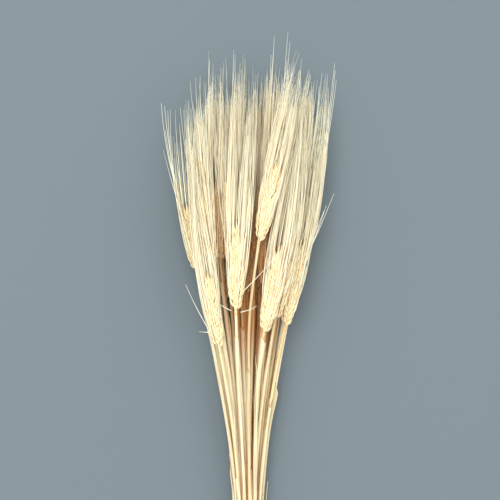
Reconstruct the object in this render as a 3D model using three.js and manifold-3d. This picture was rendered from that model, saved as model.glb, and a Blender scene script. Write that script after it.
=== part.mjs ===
// A tied bundle of dried bearded wheat, lying on its side as it would on a table.
// Millimetres. +Y runs from the cut ends to the awn tips, +X across the fan of ears, and +Z
// up from the surface. The origin is under the middle of the bundle, on that surface.
//
// Each stalk is a stem and an ear. The stalks lie in rows, one row on another, and within a
// row they keep their order from the tie to the ears, so no two stalks cross.
import * as THREE from "three";
import { mergeVertices } from "three/addons/utils/BufferGeometryUtils.js";
import Module from "manifold-3d";

const wasm = await Module();
wasm.setup();

// Driving dimensions.
const tieHeight = 205; // from the cut ends to the twine
const neckHeight = 364; // from the cut ends to the base of the lowest ear
const fanRise = 56; // from neckHeight up to where the across values of the rows are measured
const footDiameter = 3.6; // a stem with its leaf sheath, below the ears' long necks
const neckDiameter = 2.4; // a stem where it enters its ear
const earLength = 67;
const earWidth = 11.6;
const earThickness = 9;
const awnReach = 106; // how far the longest awns stand past the tip of the ear
const awnDiameter = 0.9;
const earGap = 0.7; // between neighbouring ears
const stemGap = 0.5; // between neighbouring stems at the tie
const neckGap = 0.3; // between a stem's end and the ear that grows on it
const footFlare = 0.4; // how much wider the stems lie at their cut ends than at the tie
const cutSpread = 14; // the stems are cut off within this length
const easing = 0.15; // share of its lean and rise that an ear keeps at its awn tips
const awnDrift = 3; // degrees that the awn tips of every ear turn to the right
const awnTaper = 0.6; // share of its diameter that an awn loses on the way to its tip
const stiffAtTie = 0.34; // shares of a stem's free length that keep its heading
const stiffAtEar = 0.22;
const twineDiameter = 2.6;
const twineTurns = 4;
const twineClearance = 0.9; // between the twine and the stems
const tailLength = 26; // of each free end of the twine
const knotDiameter = 2.5 * twineDiameter;

// The rows of stalks, from the surface up. Each stalk is [across, up, lean, rise, size]:
// across in ear pitches from the middle at the fan's height, up in ear lengths from neckHeight to
// the ear's base, lean to the right and rise from level in degrees, and size as a share of a
// full ear.
const rows = [
  [
    [-1.95, 0.8, -8, 0, 0.95],
    [-0.68, 0.95, -3, 0, 0.9],
    [0.62, 0.55, 3, 0, 1],
    [1.9, 0.88, 8, 0, 0.92],
  ],
  [
    [-2.75, 0.58, -11, 0, 0.86],
    [-1.65, 0.52, -7, 0.5, 1],
    [-0.55, 1.05, -2, 0.5, 0.92],
    [0.55, 0.58, 2, 0.5, 1],
    [1.65, 1.02, 7, 0.5, 0.92],
    [2.75, 0.62, 11, 0, 0.96],
  ],
  [
    [-2.35, 0.66, -9, 1, 0.92],
    [-1.15, 1.08, -4, 1, 0.86],
    [-0.03, 0.6, 0, 1, 0.98],
    [1.03, 1.02, 4, 1, 0.92],
    [2.05, 0.74, 8, 1, 0.98],
    [3.08, 0.82, 12, 1, 0.95],
  ],
  [
    [-3.12, 0.85, -12, 1.5, 0.78],
    [-1.62, 0.98, -5, 1.5, 0.9],
    [-0.4, 0.72, -1, 1.5, 1],
    [1.1, 0.66, 5, 1.5, 1],
    [2.97, 0.23, 12, 1, 1],
  ],
  [
    [-2.12, 0.83, -10, 2, 0.9],
    [-0.95, 1.02, -3, 2, 0.88],
    [2.2, 0.32, 11, 1.5, 1],
  ],
  [
    [-2.76, 0, -13, 0.5, 0.86],
    [-0.7, 0.42, 1, 2, 1],
    [0.17, 1.19, 14, 3.2, 0.91],
    [1.76, 0.17, 12.5, 1, 1],
  ],
];

const stemPitch = footDiameter + stemGap;
const earPitch = earWidth + earGap;
const rowPitch = earThickness + earGap;
const footRadius = footDiameter / 2;
const neckRadius = neckDiameter / 2;
const twineRadius = twineDiameter / 2;
const turnPitch = twineDiameter * 0.9; // neighbouring turns press into each other
const tieLength = twineTurns * turnPitch;
const liftAtTie = twineDiameter + twineClearance; // of the lowest stems, by the twine under them
const goldenShare = 0.618;

const straw = new THREE.MeshStandardMaterial({ color: 0xead9ac, roughness: 0.55, metalness: 0 });
const husk = new THREE.MeshStandardMaterial({ color: 0xefdfb2, roughness: 0.7, metalness: 0 });
const jute = new THREE.MeshStandardMaterial({ color: 0xb08a55, roughness: 0.9, metalness: 0 });

const slope = (degrees) => Math.tan(THREE.MathUtils.degToRad(degrees));

// A direction that leans to the right and rises from level, both in degrees.
function heading(lean, rise) {
  return new THREE.Vector3(slope(lean), 1, slope(rise)).normalize();
}

// Everything about one stalk that its stem and its ear share.
function stalkAt(row, place, number) {
  const [across, up, lean, rise, size] = rows[row][place];
  const baseHeight = neckHeight + up * earLength;
  const base = new THREE.Vector3(
    across * earPitch + slope(lean) * (baseHeight - neckHeight - fanRise),
    baseHeight,
    earThickness / 2 + row * rowPitch,
  );
  const atTie = new THREE.Vector3(
    (place - (rows[row].length - 1) / 2) * stemPitch,
    tieHeight,
    liftAtTie + footRadius + row * stemPitch,
  );
  const atFoot = new THREE.Vector3(
    atTie.x * (1 + footFlare),
    cutSpread * ((number * goldenShare) % 1),
    footRadius + row * stemPitch * (1 + footFlare),
  );
  return { number, base, atTie, atFoot, lean, rise, size };
}

// The line of a stem: straight from its foot through the tie, then curving into its ear's line.
function stemLine({ atFoot, atTie, base, lean, rise }) {
  const out = atTie.clone().sub(atFoot).normalize();
  const free = atTie.clone().addScaledVector(out, tieLength);
  const reach = base.y - free.y;
  const line = new THREE.CurvePath();
  line.add(new THREE.LineCurve3(atFoot, free));
  line.add(
    new THREE.CubicBezierCurve3(
      free,
      free.clone().addScaledVector(out, reach * stiffAtTie),
      base.clone().addScaledVector(heading(lean, rise), -reach * stiffAtEar),
      base,
    ),
  );
  return line;
}

// The line of an ear and its longest awn: it keeps the stem's heading and slowly straightens.
function earLine({ base, lean, rise, size }) {
  const half = ((earLength + awnReach) * size) / 2;
  const start = base.clone().addScaledVector(heading(lean, rise), neckGap);
  const middle = start.clone().addScaledVector(heading(lean, rise), half);
  const end = middle.clone().addScaledVector(heading(lean * easing + awnDrift, rise * easing), half);
  return new THREE.QuadraticBezierCurve3(start, middle, end);
}

// Bends a geometry that stands along +Y from 0 to 1 so that it follows a line.
function bend(geometry, line) {
  const position = geometry.getAttribute("position");
  const point = new THREE.Vector3();
  const side = new THREE.Vector3();
  const up = new THREE.Vector3();
  for (let i = 0; i < position.count; i++) {
    const t = THREE.MathUtils.clamp(position.getY(i), 0, 1);
    const along = line.getTangent(t);
    side.crossVectors(along, new THREE.Vector3(0, 0, 1)).normalize();
    up.crossVectors(side, along);
    line.getPoint(t, point);
    point.addScaledVector(side, position.getX(i)).addScaledVector(up, position.getZ(i));
    position.setXYZ(i, point.x, point.y, point.z);
  }
  return geometry;
}

// A turned solid from [radius, distance along] pairs, its two ends closed on the axis.
function turned(profile, sides) {
  const [first, last] = [profile[0], profile[profile.length - 1]];
  const outline = [[0, first[1]], ...profile, [0, last[1]]];
  return new THREE.LatheGeometry(
    outline.map(([radius, along]) => new THREE.Vector2(radius, along)),
    sides,
  );
}

function stemGeometry(stalk) {
  const rings = 8;
  const sides = 6;
  const sheathTop = 0.62; // the leaf sheath starts to thin out here, towards the bare neck
  const profile = Array.from({ length: rings + 1 }, (_, i) => {
    const t = i / rings;
    const bare = THREE.MathUtils.smoothstep(t, sheathTop, 1);
    return [THREE.MathUtils.lerp(footRadius, neckRadius, bare), t];
  });
  return bend(turned(profile, sides), stemLine(stalk));
}

// The husks of an ear as one plain body: blunt at the stem, widest at a third, tapering to the tip.
function bodyGeometry(stalk, line) {
  const sides = 8;
  const share = earLength / (earLength + awnReach);
  const outline = [
    // [share of the full radius, share of the length]
    [0.28, 0],
    [0.72, 0.07],
    [0.94, 0.19],
    [1, 0.34],
    [0.96, 0.52],
    [0.82, 0.7],
    [0.58, 0.86],
    [0.24, 1],
  ];
  const radius = (earWidth / 2) * stalk.size;
  const geometry = turned(
    outline.map(([width, along]) => [width * radius, along * share]),
    sides,
  );
  geometry.rotateY(Math.PI / sides);
  geometry.scale(1 / Math.cos(Math.PI / sides), 1, earThickness / earWidth);
  return bend(geometry, line);
}

// One awn from inside the husks. It runs between two shares of the ear's line and stands off that
// line by X and Z at its start and its end.
function awnGeometry(line, from, to, startX, endX, startZ, endZ) {
  const steps = 2;
  const sides = 3;
  const profile = Array.from({ length: steps + 1 }, (_, i) => {
    const t = i / steps;
    return [(awnDiameter / 2) * (1 - awnTaper * t), THREE.MathUtils.lerp(from, to, t)];
  });
  const geometry = turned(profile, sides);
  const position = geometry.getAttribute("position");
  for (let i = 0; i < position.count; i++) {
    const t = (position.getY(i) - from) / (to - from);
    position.setX(i, position.getX(i) + THREE.MathUtils.lerp(startX, endX, t));
    position.setZ(i, position.getZ(i) + THREE.MathUtils.lerp(startZ, endZ, t));
  }
  return bend(geometry, line);
}

function solidOf(geometry) {
  const bare = geometry.clone();
  for (const name of ["normal", "uv"]) {
    bare.deleteAttribute(name);
  }
  const merged = mergeVertices(bare, 1e-3);
  return new wasm.Manifold(
    new wasm.Mesh({
      numProp: 3,
      vertProperties: merged.attributes.position.array,
      triVerts: new Uint32Array(merged.index.array),
    }),
  );
}

function joined(geometries) {
  const whole = geometries.map(solidOf).reduce((sum, solid) => sum.add(solid));
  const made = whole.getMesh();
  const geometry = new THREE.BufferGeometry();
  geometry.setAttribute("position", new THREE.BufferAttribute(made.vertProperties, made.numProp));
  geometry.setIndex(new THREE.BufferAttribute(made.triVerts, 1));
  geometry.computeVertexNormals();
  return geometry;
}

function earGeometry(stalk) {
  const line = earLine(stalk);
  const share = earLength / (earLength + awnReach);
  const sideways = (earWidth / 2) * stalk.size;
  const awns = [[share * 0.9, 1, 0, 0, 0, 0]]; // the longest, from the tip, then two pairs beside it
  for (const side of [-1, 1]) {
    awns.push([share * 0.3, 0.74, side * sideways * 0.7, side * sideways * 0.95, 0, 0]);
    awns.push([share * 0.62, 0.88, side * sideways * 0.5, side * sideways * 0.6, 0.6, 1.6]);
  }
  return joined([bodyGeometry(stalk, line), ...awns.map((awn) => awnGeometry(line, ...awn))]);
}

// The outline that a taut string takes round the stems at the tie.
function tautLoop(stalks, y) {
  const steps = 28;
  const outset = footRadius + twineClearance + twineRadius;
  return Array.from({ length: steps }, (_, i) => {
    const angle = (i / steps) * 2 * Math.PI;
    const outward = new THREE.Vector3(Math.cos(angle), 0, Math.sin(angle));
    const outermost = stalks.reduce((best, stalk) =>
      stalk.atTie.dot(outward) > best.atTie.dot(outward) ? stalk : best,
    );
    const point = outermost.atTie.clone().addScaledVector(outward, outset);
    point.y = y;
    return point;
  });
}

// The twine: its turns round the stems, its knot on top, and its two free ends.
function twineGeometry(stalks) {
  const sides = 5;
  const turns = Array.from({ length: twineTurns }, (_, i) => {
    const y = tieHeight + (i - (twineTurns - 1) / 2) * turnPitch;
    const loop = new THREE.CatmullRomCurve3(tautLoop(stalks, y), true, "centripetal");
    return new THREE.TubeGeometry(loop, 36, twineRadius, sides, true);
  });
  const top = Math.max(...tautLoop(stalks, tieHeight).map((point) => point.z));
  const knotTop = top + twineRadius;
  const knot = new THREE.SphereGeometry(knotDiameter / 2, 8, 6);
  knot.scale(1.2, 1, 0.85); // pulled wide and flat
  knot.translate(0, tieHeight, knotTop);
  const section = new THREE.Shape(new THREE.EllipseCurve(0, 0, twineRadius, twineRadius).getPoints(sides));
  const tails = [-1, 1].map((side) => {
    const route = new THREE.CatmullRomCurve3([
      new THREE.Vector3(side * twineDiameter * 0.4, tieHeight, knotTop),
      new THREE.Vector3(side * tailLength * 0.28, tieHeight - tailLength * 0.2, knotTop + twineRadius),
      new THREE.Vector3(side * tailLength * 0.36, tieHeight - tailLength * 0.6, top + twineRadius),
      new THREE.Vector3(side * tailLength * 0.3, tieHeight - tailLength, top + twineRadius),
    ]);
    return new THREE.ExtrudeGeometry(section, { steps: 7, extrudePath: route });
  });
  return joined([...turns, knot, ...tails]);
}

const bundle = new THREE.Group();
const stalks = rows
  .flatMap((row, level) => row.map((_, place) => [level, place]))
  .map(([level, place], i) => stalkAt(level, place, i + 1));

function addPiece(name, geometry, material) {
  const mesh = new THREE.Mesh(geometry, material);
  mesh.name = name;
  bundle.add(mesh);
}

for (const stalk of stalks) {
  const label = String(stalk.number).padStart(2, "0");
  addPiece(`stem_${label}`, stemGeometry(stalk), straw);
  addPiece(`ear_${label}`, earGeometry(stalk), husk);
}
addPiece("twine_tie", twineGeometry(stalks), jute);

// The origin goes to the middle of the bundle's footprint, on the surface.
const box = new THREE.Box3().setFromObject(bundle);
bundle.position.set(-(box.min.x + box.max.x) / 2, -(box.min.y + box.max.y) / 2, -box.min.z);

export default bundle;
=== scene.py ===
import math

import bpy
import numpy as np
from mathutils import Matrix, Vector


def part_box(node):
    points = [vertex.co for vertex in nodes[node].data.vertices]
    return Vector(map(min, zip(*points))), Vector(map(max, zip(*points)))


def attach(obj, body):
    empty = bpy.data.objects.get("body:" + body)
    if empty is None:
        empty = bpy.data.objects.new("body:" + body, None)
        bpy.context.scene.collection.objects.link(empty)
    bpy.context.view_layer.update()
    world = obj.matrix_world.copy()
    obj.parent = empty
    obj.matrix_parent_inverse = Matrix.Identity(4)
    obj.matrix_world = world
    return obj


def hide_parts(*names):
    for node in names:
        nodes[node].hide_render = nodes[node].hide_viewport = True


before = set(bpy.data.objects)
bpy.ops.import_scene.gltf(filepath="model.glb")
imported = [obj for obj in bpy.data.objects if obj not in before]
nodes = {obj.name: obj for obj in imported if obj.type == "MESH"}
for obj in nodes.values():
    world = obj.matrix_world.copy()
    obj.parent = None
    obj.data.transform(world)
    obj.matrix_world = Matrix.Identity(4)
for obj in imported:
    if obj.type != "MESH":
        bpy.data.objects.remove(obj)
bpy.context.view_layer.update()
rng = np.random.default_rng(20)
mm = 0.001  # every length below is in millimetres unless it is given to Blender

# painted shade at the heart of the bundle, where the stalks shadow each other: the materials turn it brown
heartShadeLook = {
    "start": (-25, 20),  # up from the lowest ear, where it sets in
    "end": (80, 150),  # and where it fades among the awns
    "left": 0.2,  # of it above that
    "out": (0.4, 0.85),  # share of the way to the outside over which it fades
}


def between(low, high, count=None):
    return rng.uniform(low, high, count)


def unit(v):
    v = np.asarray(v, float)
    return v / np.maximum(np.linalg.norm(v, axis=-1, keepdims=True), 1e-9)


def smooth(t):
    t = np.clip(t, 0, 1)
    return t * t * (3 - 2 * t)


def ramp(value, low, high):
    # 0 below low, 1 above high
    return smooth((value - low) / (high - low))


def depthIn(points):
    # 0 on the outside of the bundle, 1 at its heart: the mask of the painted shade there
    look, y = heartShadeLook, points[:, 1]
    half = np.interp(y, outline[:, 0], outline[:, 1])
    middle = np.interp(y, outline[:, 0], outline[:, 2])
    high = np.interp(y, outline[:, 0], outline[:, 3])
    out = np.hypot(points[:, 0] / half, (points[:, 2] - middle) / high)
    up = y - lowestEar
    nearEars = ramp(up, *look["start"]) * (1 - (1 - look["left"]) * ramp(up, *look["end"]))
    return (1 - ramp(out, *look["out"])) * nearEars


class Body:
    # collects shapes, each a stack of rings, with what the materials need to know about them
    def __init__(self):
        self.points, self.faces, self.grain, self.fibre = [], [], [], []
        self.cells, self.count = [], 0

    def add(self, rings, kind, tone, band=0, slot=0):
        rings = np.asarray(rings, float)
        steps, sides = rings.shape[:2]
        length = np.r_[0, np.cumsum(np.linalg.norm(np.diff(rings.mean(1), axis=0), axis=1))]
        around = np.tile(np.arange(sides) / sides, (steps, 1))
        along = np.tile((length / max(length[-1], 1e-6))[:, None], (1, sides))
        self.points.append(rings.reshape(-1, 3))
        flat = np.ones(steps * sides)
        self.grain.append(np.c_[along.ravel(), flat * tone, flat * kind, depthIn(self.points[-1])])
        turn = around.ravel() * 2 * math.pi
        self.fibre.append(np.array([np.cos(turn), np.sin(turn), np.repeat(length, sides)]).T)
        at = self.count + np.arange(steps * sides).reshape(steps, sides)
        nextAt = np.roll(at, -1, axis=1)
        quads = np.stack([at[:-1], nextAt[:-1], nextAt[1:], at[1:]], -1).reshape(-1, 4)
        self.faces.append((quads, at[0][::-1].copy(), at[-1].copy(), slot))
        self.cells.append((steps, sides, band))
        self.count += steps * sides

    def uvs(self):
        # one cell of the sheet per shape: short shapes in a grid below, long ones as columns above
        short = [i for i, cell in enumerate(self.cells) if cell[2] == 0]
        long = [i for i, cell in enumerate(self.cells) if cell[2] == 1]
        shortShare, gridShape, edge = 0.6, 0.7, (0.06, 0.03)
        split = shortShare if short and long else (1.0 if short else 0.0)
        columns = max(1, math.ceil(math.sqrt(len(short) * gridShape)))
        lines = max(1, math.ceil(len(short) / columns))
        places = {}
        for n, i in enumerate(short):
            column, line = n % columns, n // columns
            places[i] = (column / columns, line / lines * split, 1 / columns, split / lines)
        for n, i in enumerate(long):
            places[i] = (n / len(long), split, 1 / len(long), 1 - split)
        found = []
        for i, (steps, sides, _) in enumerate(self.cells):
            x, y, width, height = places[i]
            x, y = x + width * edge[0], y + height * edge[1]
            width, height = width * (1 - 2 * edge[0]), height * (1 - 2 * edge[1])
            u0 = x + width * np.arange(sides) / sides
            u1 = x + width * (np.arange(sides) + 1) / sides
            v = y + height * np.arange(steps) / (steps - 1)
            low, high = np.repeat(v[:-1], sides), np.repeat(v[1:], sides)
            left, right = np.tile(u0, steps - 1), np.tile(u1, steps - 1)
            quads = np.stack([left, low, right, low, right, high, left, high], -1)
            found.append(quads.reshape(-1, 2))
            found.append(np.tile([[x, y]], (sides, 1)))
            found.append(np.tile([[x, y + height]], (sides, 1)))
        return np.concatenate(found)

    def build(self, name, node, materials):
        mesh = bpy.data.meshes.new(name)
        points = np.concatenate(self.points) * mm
        points[:, 2] = np.maximum(points[:, 2], 0.15 * mm)  # nothing goes through the floor
        mesh.vertices.add(len(points))
        mesh.vertices.foreach_set("co", points.ravel())
        loops, sizes, slots = [], [], []
        for quads, first, last, kindOfFace in self.faces:
            loops += [quads.ravel(), first, last]
            sizes += [np.full(len(quads), 4), [len(first)], [len(last)]]
            slots.append(np.full(len(quads) + 2, kindOfFace))
        loops, sizes = np.concatenate(loops), np.concatenate(sizes)
        mesh.loops.add(len(loops))
        mesh.loops.foreach_set("vertex_index", loops.astype(np.int32))
        mesh.polygons.add(len(sizes))
        starts = np.r_[0, np.cumsum(sizes)[:-1]]
        mesh.polygons.foreach_set("loop_start", starts.astype(np.int32))
        mesh.polygons.foreach_set("use_smooth", np.ones(len(sizes), bool))
        mesh.polygons.foreach_set("material_index", np.concatenate(slots).astype(np.int32))
        uv = mesh.uv_layers.new(name="OFBake")
        uv.data.foreach_set("uv", self.uvs().astype(np.float32).ravel())
        grain = mesh.attributes.new("grain", "FLOAT_COLOR", "POINT")
        grain.data.foreach_set("color", np.concatenate(self.grain).astype(np.float32).ravel())
        fibre = mesh.attributes.new("fibre", "FLOAT_VECTOR", "POINT")
        fibre.data.foreach_set("vector", np.concatenate(self.fibre).astype(np.float32).ravel())
        mesh.update(calc_edges=True)
        mesh.validate()
        for material in materials:
            mesh.materials.append(material)
        piece = bpy.data.objects.new(name, mesh)
        bpy.context.scene.collection.objects.link(piece)
        if node:
            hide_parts(node)
        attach(piece, "root")


def frameAlong(path):
    # tangents and two cross directions that do not twist
    tangent = unit(np.gradient(path, axis=0))
    side = np.zeros_like(path)
    first = np.cross(tangent[0], [0, 0, 1.0])
    if np.linalg.norm(first) < 0.1:
        first = np.cross(tangent[0], [1.0, 0, 0])
    side[0] = unit(first)
    for i in range(1, len(path)):
        side[i] = unit(side[i - 1] - tangent[i] * np.dot(side[i - 1], tangent[i]))
    return tangent, side, np.cross(side, tangent)


def tube(path, radius, sides, turn=0.0, flat=1.0):
    path = np.asarray(path, float)
    _, side, up = frameAlong(path)
    angle = turn + np.arange(sides) / sides * 2 * math.pi
    radius = np.broadcast_to(radius, len(path))
    out = side[:, None] * np.cos(angle)[None, :, None]
    out = out + up[:, None] * (np.sin(angle) * flat)[None, :, None]
    return path[:, None] + out * radius[:, None, None]


def spline(points, count):
    # an even curve through a few points
    points = np.asarray(points, float)
    padded = np.vstack([2 * points[0] - points[1], points, 2 * points[-1] - points[-2]])
    t = np.linspace(0, len(points) - 1 - 1e-9, count)
    i = t.astype(int)
    f = (t - i)[:, None]
    a, b, c, d = padded[i], padded[i + 1], padded[i + 2], padded[i + 3]
    return 0.5 * (2 * b + (c - a) * f + (2 * a - 5 * b + 4 * c - d) * f ** 2
                  + (3 * b - a - 3 * c + d) * f ** 3)


def cornersOf(name):
    co = np.array([v.co for v in nodes[name].data.vertices], float) / mm
    return np.unique(co.round(3), axis=0)


def ringsOf(points, axis, gap):
    # the points gathered into rings along an axis
    along = points @ axis
    order = np.argsort(along)
    cuts = np.where(np.diff(along[order]) > gap)[0] + 1
    return [points[group] for group in np.split(order, cuts)]


widestAt = 0.34  # share of the length of an ear, in the frame, where it is widest


def stemPath(name):
    rings = ringsOf(cornersOf(name), np.array([0, 1.0, 0]), 6)
    return np.array([ring.mean(0) for ring in rings])


def earPlace(name):
    points = cornersOf(name)
    tip = points[points[:, 1] > points[:, 1].max() - 0.4].mean(0)
    base = points[points[:, 1] < points[:, 1].min() + 2].mean(0)
    rings = ringsOf(points, unit(tip - base), 1.6)
    start, wide = rings[0].mean(0), rings[3].mean(0)
    heading = unit(wide - start)
    reach = np.linalg.norm(tip - start)
    return {
        "start": start,
        "middle": start + heading * reach / 2,
        "tip": tip,
        "reach": reach,
        "length": np.linalg.norm(wide - start) / widestAt,
    }


def earCurve(place, t):
    t = np.asarray(t, float)[..., None]
    a, b, c = place["start"], place["middle"], place["tip"]
    return a * (1 - t) ** 2 + b * 2 * t * (1 - t) + c * t ** 2, unit((b - a) * (1 - t) + (c - b) * t)


stalkCount = sum(name.startswith("ear_") for name in nodes)
stems = [stemPath(f"stem_{n:02d}") for n in range(1, stalkCount + 1)]
ears = [earPlace(f"ear_{n:02d}") for n in range(1, stalkCount + 1)]
stalkLines = [np.vstack([spline(stem, 60), earCurve(ear, np.linspace(0.02, 1, 30))[0]])
              for stem, ear in zip(stems, ears)]


def lineAt(line, y):
    return np.array([np.interp(y, line[:, 1], line[:, k]) for k in (0, 2)]).T


def bundleOutline():
    # at each height: half width, middle height, half thickness
    found = []
    for y in np.linspace(-300, 300, 41):
        here = np.array([lineAt(line, y) for line in stalkLines if line[0, 1] <= y <= line[-1, 1]])
        if len(here) > 3:
            thick = 3 + 3.5 * smooth((y - 60) / 60)
            low, high = here.min(0) - thick, here.max(0) + thick
            found.append([y, (high[0] - low[0]) / 2, (high[1] + low[1]) / 2, (high[1] - low[1]) / 2])
    return np.array(found)


outline = bundleOutline()
lowestEar = min(ear["start"][1] for ear in ears)
middleStem = np.mean([stem[0][0] for stem in stems])


class Sock:
    # a shader socket that can be reckoned with
    def __init__(self, tree, socket=None):
        self.tree, self.socket = tree, socket

    def make(self, kind, settings, values, out=0):
        node = self.tree.nodes.new(kind)
        for name, value in settings.items():
            setattr(node, name, value)
        for name, value in values.items():
            if isinstance(value, Sock):
                self.tree.links.new(value.socket, node.inputs[name])
            else:
                node.inputs[name].default_value = value
        return Sock(self.tree, node.outputs[out])

    def math(self, operation, a, b=0.0):
        return self.make("ShaderNodeMath", {"operation": operation}, {0: a, 1: b})

    def __add__(self, other):
        return self.math("ADD", self, other)

    def __sub__(self, other):
        return self.math("SUBTRACT", self, other)

    def __rsub__(self, other):
        return self.math("SUBTRACT", other, self)

    def __mul__(self, other):
        return self.math("MULTIPLY", self, other)

    __radd__ = __add__
    __rmul__ = __mul__

    def over(self, low, high):
        # 0 below low, 1 above high
        values = {"Value": self, "From Min": low, "From Max": high}
        return self.make("ShaderNodeMapRange", {"interpolation_type": "SMOOTHSTEP"}, values)

    def blend(self, a, b):
        # this value as the share of colour b over colour a
        return self.make("ShaderNodeMix", {"data_type": "RGBA"}, {0: self, 6: a, 7: b}, 2)

    def split(self):
        return [self.make("ShaderNodeSeparateXYZ", {}, {0: self}, i) for i in range(3)]


def colour(r, g, b):
    # from 0-255 screen values to the linear values that a shader takes
    return tuple(((c / 255 + 0.055) / 1.055) ** 2.4 for c in (r, g, b)) + (1.0,)


def newMaterial(name):
    material = bpy.data.materials.new(name)
    material.use_nodes = True
    tree = material.node_tree
    shader = tree.nodes["Principled BSDF"]
    return material, Sock(tree), shader


def streaks(s, across, along, tone, detail=3.0):
    # fibres that run along a shape, from its ring coordinates
    x, y, z = s.make("ShaderNodeAttribute", {"attribute_name": "fibre"}, {}, 1).split()
    place = s.make("ShaderNodeCombineXYZ", {}, {0: x * across, 1: y * across, 2: z * along})
    values = {"Vector": place, "W": tone * 37.0, "Scale": 1.0, "Detail": detail, "Roughness": 0.6}
    return s.make("ShaderNodeTexNoise", {"noise_dimensions": "4D"}, values)


def finish(s, shader, base, rough, height, depth, strength=0.6):
    link = s.tree.links.new
    link(base.socket, shader.inputs["Base Color"])
    link(rough.socket, shader.inputs["Roughness"])
    bump = s.make("ShaderNodeBump", {}, {"Height": height, "Strength": strength, "Distance": depth})
    link(bump.socket, shader.inputs["Normal"])


def grainOf(s):
    # along each shape, its own tone, what kind it is, and how far in the bundle it lies, which masks the
    # painted shade at the heart
    values = s.make("ShaderNodeAttribute", {"attribute_name": "grain"}, {}, 0).split()
    return values + [s.make("ShaderNodeAttribute", {"attribute_name": "grain"}, {}, 3)]


def openTo(s, reach):
    # ambient occlusion: 1 where a surface sees out, towards 0 down in the gaps of the bundle, where the
    # materials paint shade into the colour
    return s.make("ShaderNodeAmbientOcclusion", {"samples": 4}, {"Distance": reach}, 1)


def glow(shader, weight):
    # dry plant tissue lets a little light through
    shader.inputs["Specular IOR Level"].default_value = 0.1
    shader.inputs["Subsurface Weight"].default_value = weight
    shader.inputs["Subsurface Radius"].default_value = (1.0, 0.8, 0.55)
    shader.inputs["Subsurface Scale"].default_value = 0.0015


huskTones = {
    "body": (colour(217, 203, 163), colour(228, 217, 183)),
    "fibre": colour(200, 172, 120),
    "tucked": colour(196, 158, 98),  # painted shade on the foot of a husk, inside the one below it
    "awn": (colour(249, 240, 203), colour(255, 252, 226)),
    "speck": colour(232, 206, 148),
    "nookShade": (colour(158, 112, 58), 0.0015),  # painted shade between husks, and how near they have to be
    "gapShade": (colour(228, 156, 60), 0.006),  # painted shade between awns, and how near they have to be
    # painted shade: warm brown at the heart of the bundle
    "heartShade": colour(176, 100, 14),
}


def huskMaterial():
    # husks and awns: pale cream, with painted shade in the colour: tan where a husk is tucked in, tan-brown
    # between husks, warm brown down in the gaps and at the heart of the bundle
    material, s, shader = newMaterial("husk")
    along, tone, kind, heartShade = grainOf(s)
    fine = streaks(s, 2.4, 0.35, tone)
    cloud = s.make("ShaderNodeTexNoise", {}, {"Scale": 95.0, "Detail": 3.0})
    shade = tone * 0.6 + cloud * 0.4
    speck = streaks(s, 1.6, 1.5, tone, 2.0)
    body = shade.over(0.2, 0.75).blend(*huskTones["body"])
    body = (fine.over(0.52, 0.75) * 0.5).blend(body, huskTones["fibre"])
    # painted shade: tan on the foot of each husk, where it sits inside the one below
    tucked = (1 - along.over(0.0, 0.4)) * (1 - kind.over(0.2, 0.8))
    body = (tucked * 0.4).blend(body, huskTones["tucked"])
    awn = shade.over(0.2, 0.8).blend(*huskTones["awn"])
    awn = (speck.over(0.5, 0.7) * 0.3).blend(awn, huskTones["speck"])
    base = kind.over(0.4, 0.6).blend(body, awn)
    onBody = 1 - kind.over(0.4, 0.6)
    # painted shade: tan-brown in the narrow crevices between husks
    tint, reach = huskTones["nookShade"]
    nookShade = (1 - openTo(s, reach).over(0.1, 0.65)) * onBody
    base = (nookShade * 0.6).blend(base, tint)
    # painted shade: warm brown where awns and husks close each other in
    tint, reach = huskTones["gapShade"]
    gapShade = (1 - openTo(s, reach).over(0.0, 0.55)) * (onBody * 0.5 + 0.5)
    base = (gapShade * 0.75).blend(base, tint)
    # painted shade: the heart of the bundle turned warm brown, more so where it is also closed in
    base = (heartShade * (0.65 + gapShade * 0.35)).blend(base, huskTones["heartShade"])
    finish(s, shader, base, fine * 0.2 + 0.5, fine, 0.0002)
    glow(shader, 0.5)
    return material


strawTones = {
    "straw": (colour(215, 203, 166), colour(227, 218, 189)),
    "broad": colour(208, 182, 130),
    "fine": colour(190, 148, 90),
    "fleck": colour(140, 92, 44),
    "gapShade": (colour(188, 116, 26), 0.008),  # painted shade between stems, and how near they have to be
    # painted shade: brown at the heart of the bundle
    "heartShade": colour(168, 94, 10),
}


def strawMaterial():
    # stems: ribbed straw with tan and brown streaks, and painted shade: brown in the gaps between stems and
    # at the heart of the bundle
    material, s, shader = newMaterial("straw")
    _, tone, _, heartShade = grainOf(s)
    fine = streaks(s, 4.2, 0.02, tone, 4.0)
    broad = streaks(s, 0.8, 0.016, tone, 2.0)
    fleck = streaks(s, 2.0, 0.25, tone, 2.0)
    base = tone.over(0.0, 1.0).blend(*strawTones["straw"])
    base = (broad.over(0.48, 0.72) * 0.4).blend(base, strawTones["broad"])
    base = (fine.over(0.51, 0.64) * 0.5).blend(base, strawTones["fine"])
    base = (fleck.over(0.66, 0.74) * 0.6).blend(base, strawTones["fleck"])
    # painted shade: brown where stems close each other in
    tint, reach = strawTones["gapShade"]
    gapShade = 1 - openTo(s, reach).over(0.0, 0.8)
    base = (gapShade * 0.95).blend(base, tint)
    # painted shade: the heart of the bundle turned brown, more so where it is also closed in
    base = (heartShade * (0.7 + gapShade * 0.3)).blend(base, strawTones["heartShade"])
    finish(s, shader, base, fine * 0.3 + 0.36, fine, 0.0004, 0.8)
    glow(shader, 0.15)
    return material


twineTones = {
    "ply": (colour(120, 84, 44), colour(196, 158, 104)),
    "worn": colour(160, 122, 74),
}


def twineMaterial():
    # hairy, matt plant fibre
    material, s, shader = newMaterial("twine")
    _, tone, _, _ = grainOf(s)
    fine = streaks(s, 5.0, 0.8, tone, 4.0)
    base = fine.over(0.3, 0.7).blend(*twineTones["ply"])
    base = (tone * 0.4).blend(base, twineTones["worn"])
    finish(s, shader, base, fine * 0.1 + 0.82, fine, 0.0004, 0.9)
    return material


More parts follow.
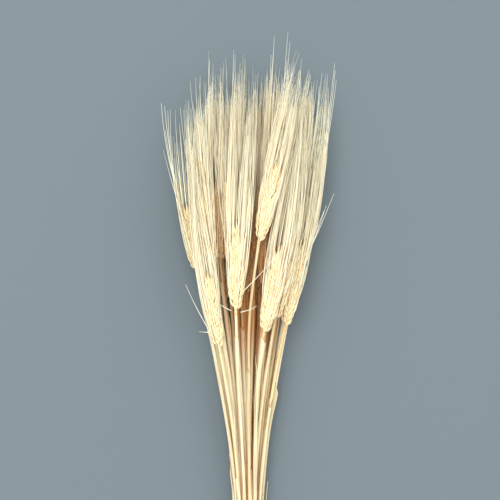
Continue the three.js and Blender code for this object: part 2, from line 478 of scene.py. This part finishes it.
earLook = {
    "pitch": 1.85,  # between one spikelet and the next, which grows on the other side
    "tilt": 0.34,  # how far a spikelet leans out
    "glume": (9.5, 2.5, 1.0),  # length, width, depth
    "lemma": (12.5, 2.4, 1.15),
    "size": 67,  # length of a full ear, which the sizes above go with
    "reach": 173,  # and its length with its longest awn
    "awnRadius": 0.4,
    "awnTaper": 0.82,  # share of its width that an awn loses on the way to its tip
    "longestAwn": 130,
    "shortestAwn": (0.5, 0.62),  # share of the longest, in a loose and in a pointed ear
    "pull": ((0.3, 0.9), (0.7, 0.97)),  # how far the awns close up, in a loose and in a pointed ear
    "clumps": (4, 1),  # that they close up into
    "pointed": (1, 4, 7, 9, 14, 16, 18, 24, 25, 27, 28),  # ears whose awns close to a point
    "roll": 34,  # degrees that an ear may be turned on its own line
    "thirdAwn": 0.55,  # share of the outer florets that have an awn
    "unruly": 0.02,  # share of the awns that go their own way
}
# the outline that the awn tips reach: across from the middle of the stems, up from the lowest ear
crown = [
    (-66, 150), (-54, 166), (-47, 188), (-43, 208), (-33, 218), (-24, 204), (-14, 227), (2, 220),
    (14, 210), (28, 237), (36, 206), (43, 220), (50, 200), (59, 218), (65, 180),
]
crownLook = {
    "reached": 0.12,  # share of the awns that come to the crown, give or take this much
    "near": 4,
    "lowest": 100,  # how far under it the rest may end
}
# share of the length, share of the full width
huskFoot = [[0, 0.3], [0.14, 0.74], [0.32, 1]]
glumeShape = np.array(huskFoot + [[0.52, 0.93], [0.72, 0.64], [0.88, 0.34], [1, 0.06]])
lemmaShape = np.array(huskFoot + [[0.52, 0.9], [0.72, 0.6], [0.88, 0.36], [1, 0.26]])


def huskRings(base, axis, face, sizes, shape, inward):
    # a boat-shaped husk with a keel: it leans out and then curves back towards the ear
    length, width, depth = sizes
    axis, face = unit(axis), unit(face)
    face = unit(face - axis * np.dot(face, axis))
    wide = np.cross(axis, face)
    v, full = shape[:, 0], shape[:, 1]
    angle = np.arange(8) / 8 * 2 * math.pi
    hollow, keel, keelWidth = 0.3, 0.35, 0.3
    outward = np.where(np.sin(angle) >= 0, np.sin(angle), hollow * np.sin(angle))
    outward = outward + keel * np.exp(-((angle - math.pi / 2) / keelWidth) ** 2)
    centre = base + axis * (v * length)[:, None] + face * (np.sin(v * math.pi) * 0.5)[:, None]
    centre = centre + np.asarray(inward) * (v ** 2)[:, None]
    across = wide * np.cos(angle)[None, :, None] * (full * width / 2)[:, None, None]
    out = face * outward[None, :, None] * (full * depth)[:, None, None]
    return centre[:, None] + across + out, centre[-1], unit(centre[-1] - centre[-2])


class Ear:
    def __init__(self, place, roll, body, slot=0):
        self.place, self.roll, self.body, self.slot = place, roll, body, slot
        self.scale = place["length"] / earLook["size"]

    def bent(self, rings):
        # from the straight ear's (across, along, up) to the frame
        x, s, z = rings[..., 0], rings[..., 1], rings[..., 2]
        cos, sin = math.cos(self.roll), math.sin(self.roll)
        x, z = x * cos - z * sin, x * sin + z * cos
        point, tangent = earCurve(self.place, s / self.place["reach"])
        side = unit(np.cross(tangent, [0, 0, 1.0]))
        up = np.cross(side, tangent)
        return point + side * x[..., None] + up * z[..., None]

    def add(self, rings, kind, tone, band=0):
        self.body.add(self.bent(rings), kind, tone, band=band, slot=self.slot)

    def trimmed(self, path):
        # the path of an awn, cut short where it would pass the crown of the bundle
        points = self.bent(path)
        top = np.interp(points[:, 0] - middleStem, *np.transpose(crown)) + lowestEar
        near, lowest = crownLook["near"], crownLook["lowest"]
        below = between(-near, near if between(0, 1) < crownLook["reached"] else lowest)
        over = points[:, 1] - top + below
        past = np.where(over > 0)[0]
        last = len(path) - 1
        if len(past) and past[0] > 0:
            last = past[0] - over[past[0]] / (over[past[0]] - over[past[0] - 1])
        at = np.linspace(0, max(last, 3), len(path))
        return np.stack([np.interp(at, np.arange(len(path)), path[:, k]) for k in range(3)], 1)


def awnPath(ear, root, heading, clumps, stray=0.0):
    longest = min(ear.place["reach"] - root[1], earLook["longestAwn"] * ear.scale)
    length = longest * (ear.shortest + (1.04 - ear.shortest) * between(0, 1) ** 1.4)
    l = np.linspace(0, length, 13)
    t = l / length
    settle = between(10, 22)  # within this length an awn turns from its husk's heading
    slope = np.array([heading[0], heading[2]]) / max(heading[1], 0.3)
    outward = np.array([root[0], root[2]]) * between(0.004, 0.014) + rng.normal(0, 0.012, 2)
    outward = outward * (1 + stray) + rng.normal(0, 0.06, 2) * stray
    offset = (slope - outward) * settle * (1 - np.exp(-l / settle))[:, None] + outward * l[:, None]
    end = np.array([root[0], root[2]]) + offset[-1]
    clump = clumps[np.argmin(np.linalg.norm(clumps - end, axis=1))]
    offset = offset + (clump - end) * between(*ear.pull) * (1 - stray) * (t ** 1.6)[:, None]
    wave = np.sin(l[:, None] / between(14, 30, 2) + between(0, 6, 2)) * between(0.1, 0.45, 2)
    offset = offset + (wave - wave[0]) * t[:, None] * 1.6
    return np.stack([root[0] + offset[:, 0], root[1] + l, root[2] + offset[:, 1]], 1)


def addAwn(ear, root, heading, clumps, stray=0.0):
    path = ear.trimmed(awnPath(ear, root, heading, clumps, stray))
    t = np.linspace(0, 1, len(path))
    radius = earLook["awnRadius"] * between(0.85, 1.15) * (1 - earLook["awnTaper"] * t ** 1.2)
    ear.add(tube(path, radius, 3, between(0, 2)), 1, between(0, 1), 1)


def addSpikelet(ear, side, s, size, tilt, clumps):
    # two glumes and two florets side by side, facing up and down, and a third floret outside
    glume, lemma = np.array(earLook["glume"]), np.array(earLook["lemma"])
    root = np.array([side * 0.3, s, 0])
    inward = np.array([-side * 0.7, 0, 0]) * size
    florets = []
    for lateral in (-1, 1):
        jitter = rng.normal(0, 0.05, 3)
        lean = np.array([side * tilt * 0.62, 1, lateral * 0.11]) + jitter
        face = np.array([side * 0.3, 0, lateral])
        at = root + np.array([side * -0.4, 0, lateral * 1.7]) * size
        rings, _, _ = huskRings(at, lean, face, glume * size * between(0.9, 1.08), glumeShape, inward)
        ear.add(rings, 0, between(0, 1))
        lean = np.array([side * tilt * 0.9, 1, lateral * 0.15]) + rng.normal(0, 0.05, 3)
        face = np.array([side * 0.55, 0, lateral * 0.85])
        at = root + np.array([side * 0.7, 1.0, lateral * 1.6]) * size
        florets.append((at, lean, face, lemma * size * between(0.93, 1.07)))
    for lateral in (-1, 1):
        lean = np.array([side * tilt * 1.3, 1, lateral * 0.06 + rng.normal(0, 0.05)])
        at = root + np.array([side * 2.0, 1.8, lateral * 0.9]) * size
        florets.append((at, lean, np.array([side, 0, lateral * 0.5]), lemma * size * between(0.85, 1.0)))
    for n, (at, lean, face, sizes) in enumerate(florets):
        rings, tip, heading = huskRings(at, lean, face, sizes, lemmaShape, inward * 1.3)
        ear.add(rings, 0, between(0, 1))
        if n < 2 or between(0, 1) < earLook["thirdAwn"]:
            stray = 1.0 if between(0, 1) < earLook["unruly"] else 0.0
            addAwn(ear, tip - heading * 0.4, heading, clumps, stray)


def addStray(ear, side, s, lean, length, bow):
    # an awn that stands away from the rest; lean in degrees
    t = np.linspace(0, 1, 14)
    turn = math.radians(lean) * side
    out = length * t * math.sin(turn) + side * bow * np.sin(t * math.pi)
    path = np.stack([side * 3.5 + out, s + length * t * math.cos(turn), 2 + 3 * t], 1)
    ear.add(tube(path, earLook["awnRadius"] * (1 - 0.65 * t), 3), 1, 0.8, 1)


def growEar(ear, pointed):
    length, scale = ear.place["length"], ear.scale
    lemma = np.array(earLook["lemma"])
    ear.pull, ear.shortest = earLook["pull"][pointed], earLook["shortestAwn"][pointed]
    clumps = rng.normal(0, 1, (earLook["clumps"][pointed], 2)) * [6 * scale, 4 * scale]
    last = length - lemma[0] * 0.75 * scale
    count = int(last / (earLook["pitch"] * (0.7 + 0.3 * scale)))
    nodesAlong = np.linspace(1.0, last, count)
    sides = np.where(np.arange(count) % 2 == 0, 1, -1)
    zig = np.stack([sides * 0.55, nodesAlong, np.zeros(count)], 1)
    rachis = np.vstack([[0, -2.5, 0], [0, 0, 0], zig])
    ear.add(tube(rachis, np.r_[1.15, 1.1, np.full(count, 0.75)], 6), 0.3, 0.3)
    for side, s in zip(sides, nodesAlong):
        t = s / length
        size = scale * (0.66 + 0.34 * smooth(t / 0.16)) * (1 - 0.2 * smooth((t - 0.6) / 0.4))
        tilt = earLook["tilt"] * (0.85 + 0.25 * smooth(t / 0.2)) * (1 - 0.35 * smooth((t - 0.5) / 0.5))
        addSpikelet(ear, side, s, size, tilt, clumps)
    for lateral in (-1, 1):
        at = np.array([0, last + 2, lateral * 0.8])
        rings, tip, heading = huskRings(at, [0, 1, lateral * 0.15], [0, 0, lateral],
                                        lemma * 0.8 * scale, lemmaShape, [0, 0, 0])
        ear.add(rings, 0, between(0, 1))
        addAwn(ear, tip, heading, clumps)


# the awns that stand away: which ear, its side, how far up, lean from the ear, length, bow
strays = [
    (1, -1, 50, 0.5, 106, 0.5),
    (1, 1, 46, 0.5, 102, -0.5),
    (7, -1, 50, 0.5, 108, 0.5),
    (7, 1, 47, 0.5, 104, 0.0),
    (9, 1, 50, 0.5, 104, 0.5),
    (9, -1, 47, 0.5, 103, 0.5),
    (14, 1, 54, 1, 119, 0.0),
    (14, 1, 50, 2, 116, 0.5),
    (14, -1, 52, 0.5, 118, 0.5),
    (14, -1, 47, 0.5, 109, 0.0),
    (14, 1, 44, 1.5, 108, -0.5),
    (14, -1, 55, 1.5, 100, 0.0),
    (16, 1, 50, 0.5, 114, 0.0),
    (16, 1, 46, 1, 113, 0.5),
    (16, -1, 48, 0.5, 108, 0.5),
    (16, -1, 44, 1, 102, 0.0),
    (16, 1, 52, 2, 100, 0.5),
    (18, -1, 50, 0.5, 103, 0.5),
    (18, 1, 48, 0.5, 99, 0.0),
    (11, -1, 46, 5, 92, 2.0),
    (11, -1, 52, 7, 88, 1.0),
    (17, -1, 40, 4, 84, 1.5),
    (17, -1, 48, 6, 80, 0.5),
    (17, -1, 52, 8, 78, 1.5),
    (17, -1, 44, 7, 66, 0.5),
    (25, -1, 12, 18, 42, 0.5),
    (25, -1, 36, 9, 70, 0.0),
    (25, -1, 14, 75, 9, 0.8),
    (21, 1, 46, 15, 62, 0.4),
    (21, 1, 42, 12, 56, 0.6),
    (21, 1, 49, 14, 48, -0.4),
    (21, 1, 38, 11, 44, 0.2),
    (26, 1, 14, 42, 34, 0.6),
    (26, -1, 1, 60, 11, 0.5),
    (26, 1, 0, 66, 13, 2.0),
]


def buildEar(number):
    body = Body()
    ear = Ear(ears[number - 1], math.radians(between(-earLook["roll"], earLook["roll"])), body)
    growEar(ear, number in earLook["pointed"])
    ear.roll = 0
    for which, *stray in strays:
        if which == number:
            addStray(ear, *stray)
    body.build(f"wheat_ear_{number:02d}", f"ear_{number:02d}", [husk])


stemLook = {
    "foot": 1.2,  # radius of the straw low down
    "neck": 0.95,  # and where it enters the ear
    "sheath": 1.5,  # radius of the dry leaf sheath round it
    "blade": (2.4, 0.16),  # width and thickness of a dry leaf blade
    "bladeLength": (28, 95),
    "blades": (3, 7),  # of them to a stem, up to but without the second number
    "ribs": 0.05,  # share of the radius
    "sway": 0.25,
    "thickness": 0.16,  # of the sheath
}


def growStem(body, path, thin=1.0, slot=0):
    look = stemLook
    end = path[-1] + unit(path[-1] - path[-2]) * 1.5
    line = spline(np.vstack([path, end]), 130)
    tone = between(0, 1)
    t = np.linspace(0, 1, len(line))
    sway = np.sin(t[:, None] * between(9, 16, 2) + between(0, 6, 2)) * look["sway"]
    line = line + np.stack([sway[:, 0], 0 * t, sway[:, 1]], 1) * (4 * t * (1 - t))[:, None]
    radius = (look["foot"] + (look["neck"] - look["foot"]) * smooth((t - 0.7) / 0.3)) * thin
    ribs = 1 + look["ribs"] * np.cos(np.arange(12) / 12 * 2 * math.pi * 6 + between(0, 6))
    rings = tube(line, radius, 12, between(0, 1), 0.94)
    rings = line[:, None] + (rings - line[:, None]) * ribs[None, :, None]
    body.add(rings, 0, tone, band=1, slot=slot)
    growSheath(body, line, thin, slot)
    for _ in range(rng.integers(*look["blades"])):
        growBlade(body, line, slot)


def growBlade(body, line, slot):
    # a torn strip of dry leaf that clings to the straw and stands off it towards its tip
    width, thick = stemLook["blade"]
    height = np.linalg.norm(line[-1] - line[0])
    share = between(*stemLook["bladeLength"]) / height
    start = between(0.12, 0.9 - share)
    at = np.linspace(start, start + share, 26) * (len(line) - 1)
    path = np.stack([np.interp(at, np.arange(len(line)), line[:, k]) for k in range(3)], 1)
    t = np.linspace(0, 1, len(path))[:, None]
    turn = between(0, 2 * math.pi)
    away = np.array([math.cos(turn), 0, abs(math.sin(turn))])
    wander = np.sin(t * between(5, 11, 3) + between(0, 6, 3)) * [0.5, 0, 0.3] * t
    path = path + away * (1.5 + between(0, 2.4) * t ** 2) + wander
    _, side, up = frameAlong(path)
    twist = turn + math.pi / 2 + between(-1.5, 1.5) * t
    flat = side * np.cos(twist) + up * np.sin(twist)
    face = up * np.cos(twist) - side * np.sin(twist)
    taper = smooth(t / 0.12) * (1 - 0.85 * smooth((t - 0.55) / 0.45)) + 0.06
    full = width * between(0.25, 0.9) / 2 * taper
    angle = np.arange(8) / 8 * 2 * math.pi
    cup = 0.35 * np.cos(angle) ** 2
    rings = path[:, None] + flat[:, None] * (np.cos(angle) * full)[..., None]
    rings = rings + face[:, None] * (np.sin(angle) * thick / 2 + cup * full)[..., None]
    body.add(rings, 0.2, between(0, 1), band=1, slot=slot)


def growSheath(body, line, thin, slot):
    # a dry leaf sheath wrapped round the straw, its edges lapped and its top worn away
    top = int(len(line) * between(0.55, 0.9))
    bottom = int(len(line) * between(0.1, 0.3))
    part = line[bottom:top]
    steps, around = len(part), 16
    _, side, up = frameAlong(part)
    turn = between(0, 6.3) + np.linspace(0, between(-0.8, 0.8), steps)[:, None]
    lap = np.linspace(0, 1, around)
    angle = turn + lap * (2 * math.pi + 0.5)
    t = np.linspace(0, 1, steps)[:, None]
    swell = 1 + 0.05 * np.sin(t * between(20, 40) + between(0, 6)) + 0.2 * lap * smooth((t - 0.9) / 0.1)
    radius = (stemLook["sheath"] * thin * (0.9 + 0.12 * lap)) * swell
    ragged = np.interp(lap, np.linspace(0, 1, 6), between(-9, 3, 6))
    drop = ragged * smooth((t - 0.86) / 0.14)
    direction = side[:, None] * np.cos(angle)[..., None] + up[:, None] * np.sin(angle)[..., None]
    outer = part[:, None] + direction * radius[..., None]
    outer[..., 1] += drop
    inner = outer - direction * stemLook["thickness"]
    rings = np.concatenate([outer, inner[:, ::-1]], axis=1)
    body.add(rings, 0, between(0, 1), band=1, slot=slot)


def buildStem(number):
    body = Body()
    growStem(body, stems[number - 1])
    body.build(f"wheat_stem_{number:02d}", f"stem_{number:02d}", [straw])


# more stalks, tucked between those of the frame
tuckedLook = {
    "count": 27,
    "topStalks": 7,  # of the frame: nothing is tucked between these
    "at": 60,  # where neighbours are found, up from the middle of the bundle
    "apart": (4, 16),  # nearest and furthest that two neighbours lie there
    "scale": (0.74, 0.92),
    "higher": (20, 70),  # than the ears of its neighbours
    "thin": 0.85,
    "roll": 40,
}


def neighbourPairs(y, nearest, furthest):
    # pairs of the frame's stalks that lie side by side at a height, from the heart of the bundle out
    here = np.array([lineAt(line, y) for line in stalkLines])
    pairs = [(i, j) for i in range(stalkCount - tuckedLook["topStalks"]) for j in range(i)
             if nearest < np.linalg.norm(here[i] - here[j]) < furthest]
    heart = here.mean(0)
    return sorted(pairs, key=lambda pair: np.linalg.norm(here[pair[0]] + here[pair[1]] - 2 * heart))


def tuckedStalk(number, pair):
    # its line lies between two neighbours of the frame, and its ear stands clear above theirs
    look = tuckedLook
    a, b = stalkLines[pair[0]], stalkLines[pair[1]]
    share = between(0.35, 0.65)
    top = outline[-1, 0] - 4
    y = np.linspace(max(a[0, 1], b[0, 1]) + between(0, 8), top, 80)
    across = lineAt(a, y) * share + lineAt(b, y) * (1 - share)
    line = np.stack([across[:, 0], y, across[:, 1]], 1)
    scale = between(*look["scale"])
    lowerEars = [ears[i]["start"][1] for i in pair]
    base = (lowerEars[0] + lowerEars[1]) / 2 + between(*look["higher"])
    cut = int(np.argmin(np.abs(y - base)))
    start, heading = line[cut], unit(line[cut + 6] - line[cut - 6])
    reach = min((top - base) * between(0.68, 1.0), earLook["reach"] * scale)
    place = {
        "start": start,
        "middle": start + heading * reach / 2,
        "tip": start + unit(heading + [0, 0.4, 0]) * reach,
        "reach": reach,
        "length": min(earLook["size"] * scale, reach * 0.5),
    }
    body = Body()
    growStem(body, line[:cut:8], look["thin"], 1)
    roll = math.radians(between(-look["roll"], look["roll"]))
    growEar(Ear(place, roll, body), number % 3 == 0)
    body.build(f"wheat_stalk_{number:02d}", None, [husk, straw])


twineLook = {
    "radius": 1.15,  # of the two plies together
    "twist": 7,  # along the twine for one turn of its plies
    "turns": 4,
    "pitch": 2.34,  # from one turn round the stems to the next
    "tail": 27,
    "clearance": 1.8,  # from the middle of a stem to the twine
    "inFrame": 1.3,  # radius of the frame's twine
    "frayed": 14,  # loose fibres at each end
}


def tautLoop(y, count):
    # the way a taut string takes round the stems
    here = np.array([lineAt(line, y) for line in stalkLines])
    angle = np.linspace(0, 2 * math.pi, count, endpoint=False) + math.pi / 2
    out = np.stack([np.cos(angle), np.sin(angle)], 1)
    return here[np.argmax(here @ out.T, axis=0)] + out * (twineLook["clearance"] + twineLook["radius"])


def evenly(path, step):
    # the same path with its points a fixed step apart
    path = np.asarray(path, float)
    far = np.r_[0, np.cumsum(np.linalg.norm(np.diff(path, axis=0), axis=1))]
    at = np.linspace(0, far[-1], max(4, int(far[-1] / step)))
    return np.stack([np.interp(at, far, path[:, k]) for k in range(3)], 1)


def soften(path, times):
    for _ in range(times):
        path[1:-1] = path[1:-1] * 0.5 + (path[:-2] + path[2:]) * 0.25
    return path


def addTwine(body, path, tone):
    # two plies laid round each other, with loose fibres standing off them
    look = twineLook
    line = soften(evenly(path, 0.7), 3)
    _, side, up = frameAlong(line)
    turn = np.arange(len(line)) * 0.7 / look["twist"] * 2 * math.pi
    for ply in (0, math.pi):
        swell = 1 + 0.06 * np.sin(np.arange(len(line)) * 0.9 + between(0, 6))
        off = side * np.cos(turn + ply)[:, None] + up * np.sin(turn + ply)[:, None]
        body.add(tube(line + off * look["radius"] * 0.46, look["radius"] * 0.6 * swell, 7), 0, tone, band=1)
    for _ in range(int(len(line) / 5)):
        i = int(between(2, len(line) - 3))
        out = unit(side[i] * between(-1, 1) + up[i] * between(-0.3, 1) + rng.normal(0, 0.2, 3))
        run = unit(line[i + 1] - line[i]) * between(-1, 1)
        t = np.linspace(0, 1, 5)[:, None]
        hair = line[i] + out * (0.9 + t * between(0.6, 2.0)) + run * t * between(1, 4)
        hair = hair + rng.normal(0, 0.15, (5, 3)) * t
        body.add(tube(hair, 0.07 * (1 - 0.6 * t[:, 0]), 3), 0, between(0, 1), band=0)


def buildTwine():
    look = twineLook
    body = Body()
    _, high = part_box("twine_tie")
    middle = high.y / mm - look["pitch"] * (look["turns"] - 1) / 2 - look["inFrame"]
    ends = middle - look["pitch"] * (look["turns"] - 1) / 2
    steps = 120
    loops = [tautLoop(ends + n * look["pitch"], steps) for n in range(look["turns"])]
    climb = np.linspace(-0.5, look["turns"] - 0.5, steps * look["turns"]) * look["pitch"] + ends
    across = np.concatenate(loops)
    addTwine(body, np.stack([across[:, 0], climb, across[:, 1]], 1), 0.5)
    top = tautLoop(middle, steps)[:, 1].max() + look["radius"] * 1.3
    t = np.linspace(0, 2 * math.pi, 60)
    knot = np.stack([2.6 * np.sin(2 * t), middle + 2.3 * np.sin(t) * np.cos(2 * t) + 1.1 * np.cos(t),
                     top + 1.2 + 1.2 * np.sin(3 * t)], 1)
    addTwine(body, knot, 0.3)
    for side in (-1, 1):
        end = [9.6 + side * 1.6, -look["tail"], -0.2]
        drop = np.array([[0, 0.3, 1.6], [2.6, -0.6, 2.4], [6.2, -4.2, 0.6],
                         [8.6, -10, -0.6], [8.0, -17, -0.4], end])
        route = drop * [side, 1, 1] + [0, middle, top]
        addTwine(body, spline(route, 60), between(0, 1))
        for _ in range(look["frayed"]):
            t = np.linspace(0, 1, 5)[:, None]
            splay = rng.normal(0, 0.45, 3) * [1, 0.4, 0.5]
            fray = route[-1] + (np.array([0, -between(3, 7), 0]) + splay * 4) * t
            body.add(tube(fray, 0.12 * (1 - 0.5 * t[:, 0]), 3), 0, between(0, 1), band=0)
    body.build("twine_wrap", "twine_tie", [twine])


husk, straw, twine = huskMaterial(), strawMaterial(), twineMaterial()
for number in range(1, stalkCount + 1):
    buildStem(number)
    buildEar(number)
print("stalks built:", stalkCount)
tucked = neighbourPairs(tuckedLook["at"], *tuckedLook["apart"])[::2][:tuckedLook["count"]]
for number, pair in enumerate(tucked, stalkCount + 1):
    tuckedStalk(number, pair)
print("stalks tucked between them:", len(tucked))
buildTwine()
print("twine turns:", twineLook["turns"])


floorLook = {
    "size": 6,  # in metres, as are the lights and the camera
    "tones": (colour(94, 106, 115), colour(100, 113, 122)),
}
lightLook = {
    "target": (0, 0.12, 0.02),
    "tint": (1.0, 0.99, 0.95),
    "key": ((-0.3, 0.42, 1.6), 1.1, 21.5),  # place, width, power
    "fill": ((0.7, -0.2, 1.5), 1.6, 10),
    "world": ((1.0, 0.97, 0.88, 1), 1.03),
}
cameraLook = {
    "lens": 110,
    "sensor": 36,
    "across": 0.38,  # width seen at the height of the bundle's upper half
    "height": 0.035,  # of that upper half
    "from": (0.0016, 0.0745),  # the middle of the stems, and the foot of the lowest ear
}


def buildStage():
    # one plain floor
    bpy.ops.mesh.primitive_grid_add(x_subdivisions=8, y_subdivisions=8, size=floorLook["size"])
    floor = bpy.context.object
    floor.name = "floor"
    material, s, shader = newMaterial("floor")
    cloud = s.make("ShaderNodeTexNoise", {}, {"Scale": 1.2, "Detail": 2.0})
    base = cloud.blend(*floorLook["tones"])
    s.tree.links.new(base.socket, shader.inputs["Base Color"])
    shader.inputs["Roughness"].default_value = 0.9
    floor.data.materials.append(material)


def addLight(name):
    place, width, power = lightLook[name]
    data = bpy.data.lights.new(name, "AREA")
    data.shape = "DISK"
    data.size, data.energy, data.color = width, power, lightLook["tint"]
    light = bpy.data.objects.new(name, data)
    light.location = place
    aim = Vector(lightLook["target"]) - Vector(place)
    light.rotation_euler = aim.to_track_quat("-Z", "Y").to_euler()
    bpy.context.scene.collection.objects.link(light)


def buildLight():
    addLight("key")
    addLight("fill")
    world = bpy.data.worlds.new("soft")
    world.use_nodes = True
    background = world.node_tree.nodes["Background"]
    background.inputs[0].default_value, background.inputs[1].default_value = lightLook["world"]
    bpy.context.scene.world = world
    bpy.context.scene.view_settings.view_transform = "Standard"


def buildCamera():
    # straight above the ears, which fill the upper part of its view
    look = cameraLook
    data = bpy.data.cameras.new("camera")
    data.lens, data.sensor_width = look["lens"], look["sensor"]
    camera = bpy.data.objects.new("camera", data)
    x, y = middleStem * mm + look["from"][0], lowestEar * mm + look["from"][1]
    camera.location = (x, y, look["height"] + look["across"] * look["lens"] / look["sensor"])
    camera.rotation_euler = (0, 0, 0)
    bpy.context.scene.collection.objects.link(camera)
    bpy.context.scene.camera = camera


buildStage()
buildLight()
buildCamera()
print("floor, lights and camera are in place")
